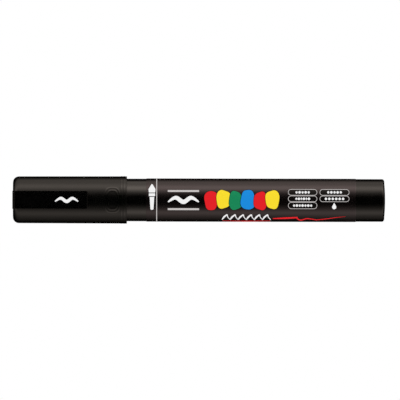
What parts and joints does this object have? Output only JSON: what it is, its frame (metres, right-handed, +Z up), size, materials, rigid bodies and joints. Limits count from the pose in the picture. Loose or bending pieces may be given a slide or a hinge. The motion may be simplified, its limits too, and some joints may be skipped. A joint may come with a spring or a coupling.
{
  "type": "brush pen",
  "caption": "Capped paint marker with a soft brush tip on a spring valve, a pull-off cap with a springy clip, a plain round barrel and a loose mixing ball.",
  "frame": {"origin": "middle of the flat at the tail, on the pen's axis", "axes": "+X along the pen towards the tail, the cap at -X, the clip on the -Y side, +Z up with the pen lying down"},
  "size_m": [0.138, 0.0197, 0.0176],
  "materials": {
    "barrel_plastic": "black moulded plastic, soft gloss",
    "label_film": "black printed film, glossy, with white and coloured printing",
    "section_plastic": "black moulded plastic, satin",
    "cap_plastic": "black moulded plastic, satin",
    "clip_plastic": "black moulded plastic, flat and smooth",
    "seal_plastic": "milky soft plastic",
    "ferrule_plastic": "dark grey moulded plastic",
    "bristle_fibre": "fine off-white nylon bristles",
    "core_fibre": "pressed white fibre",
    "valve_plastic": "milky stiff plastic",
    "gasket_rubber": "black soft rubber",
    "spring_steel": "drawn stainless wire",
    "ball_steel": "polished steel"
  },
  "bodies": {
    "barrel": {"barrel": "barrel_plastic", "label_sleeve": "label_film", "front_section": "section_plastic", "valve_seat": "valve_plastic", "valve_gasket": "gasket_rubber", "valve_cage": "valve_plastic", "valve_spring": "spring_steel"},
    "cap": {"cap_shell": "cap_plastic", "inner_cap": "seal_plastic"},
    "clip": {"cap_clip": "clip_plastic"},
    "tip": {"brush_ferrule": "ferrule_plastic", "brush_bristles": "bristle_fibre", "feed_core": "core_fibre"},
    "valve": {"valve_rod": "valve_plastic"},
    "ball": {"mixing_ball": "ball_steel"}
  },
  "joints": [
    {"name": "cap_pull", "type": "slide", "parent": "barrel", "child": "cap", "axis": [-1, 0, 0], "range_m": [0, 0.06]},
    {"name": "clip_flex", "type": "hinge", "parent": "cap", "child": "clip", "pos_m": [-0.13405, -0.0102, 0], "axis": [0, 0, -1], "range_deg": [0, 4], "stiffness_Nm_per_rad": 0.8},
    {"name": "tip_press", "type": "slide", "parent": "barrel", "child": "tip", "axis": [1, 0, 0], "range_m": [0, 0.0015], "stiffness_N_per_m": 800, "springref_m": -0.001},
    {"name": "valve_open", "type": "slide", "parent": "barrel", "child": "valve", "axis": [1, 0, 0], "range_m": [0, 0.0015], "deforming": ["valve_spring"]},
    {"name": "ball_roll", "type": "slide", "parent": "barrel", "child": "ball", "axis": [-1, 0, 0], "range_m": [0, 0.0747]}
  ],
  "couplings": [
    {"joint": "valve_open", "follows": "tip_press", "ratio": 1}
  ]
}
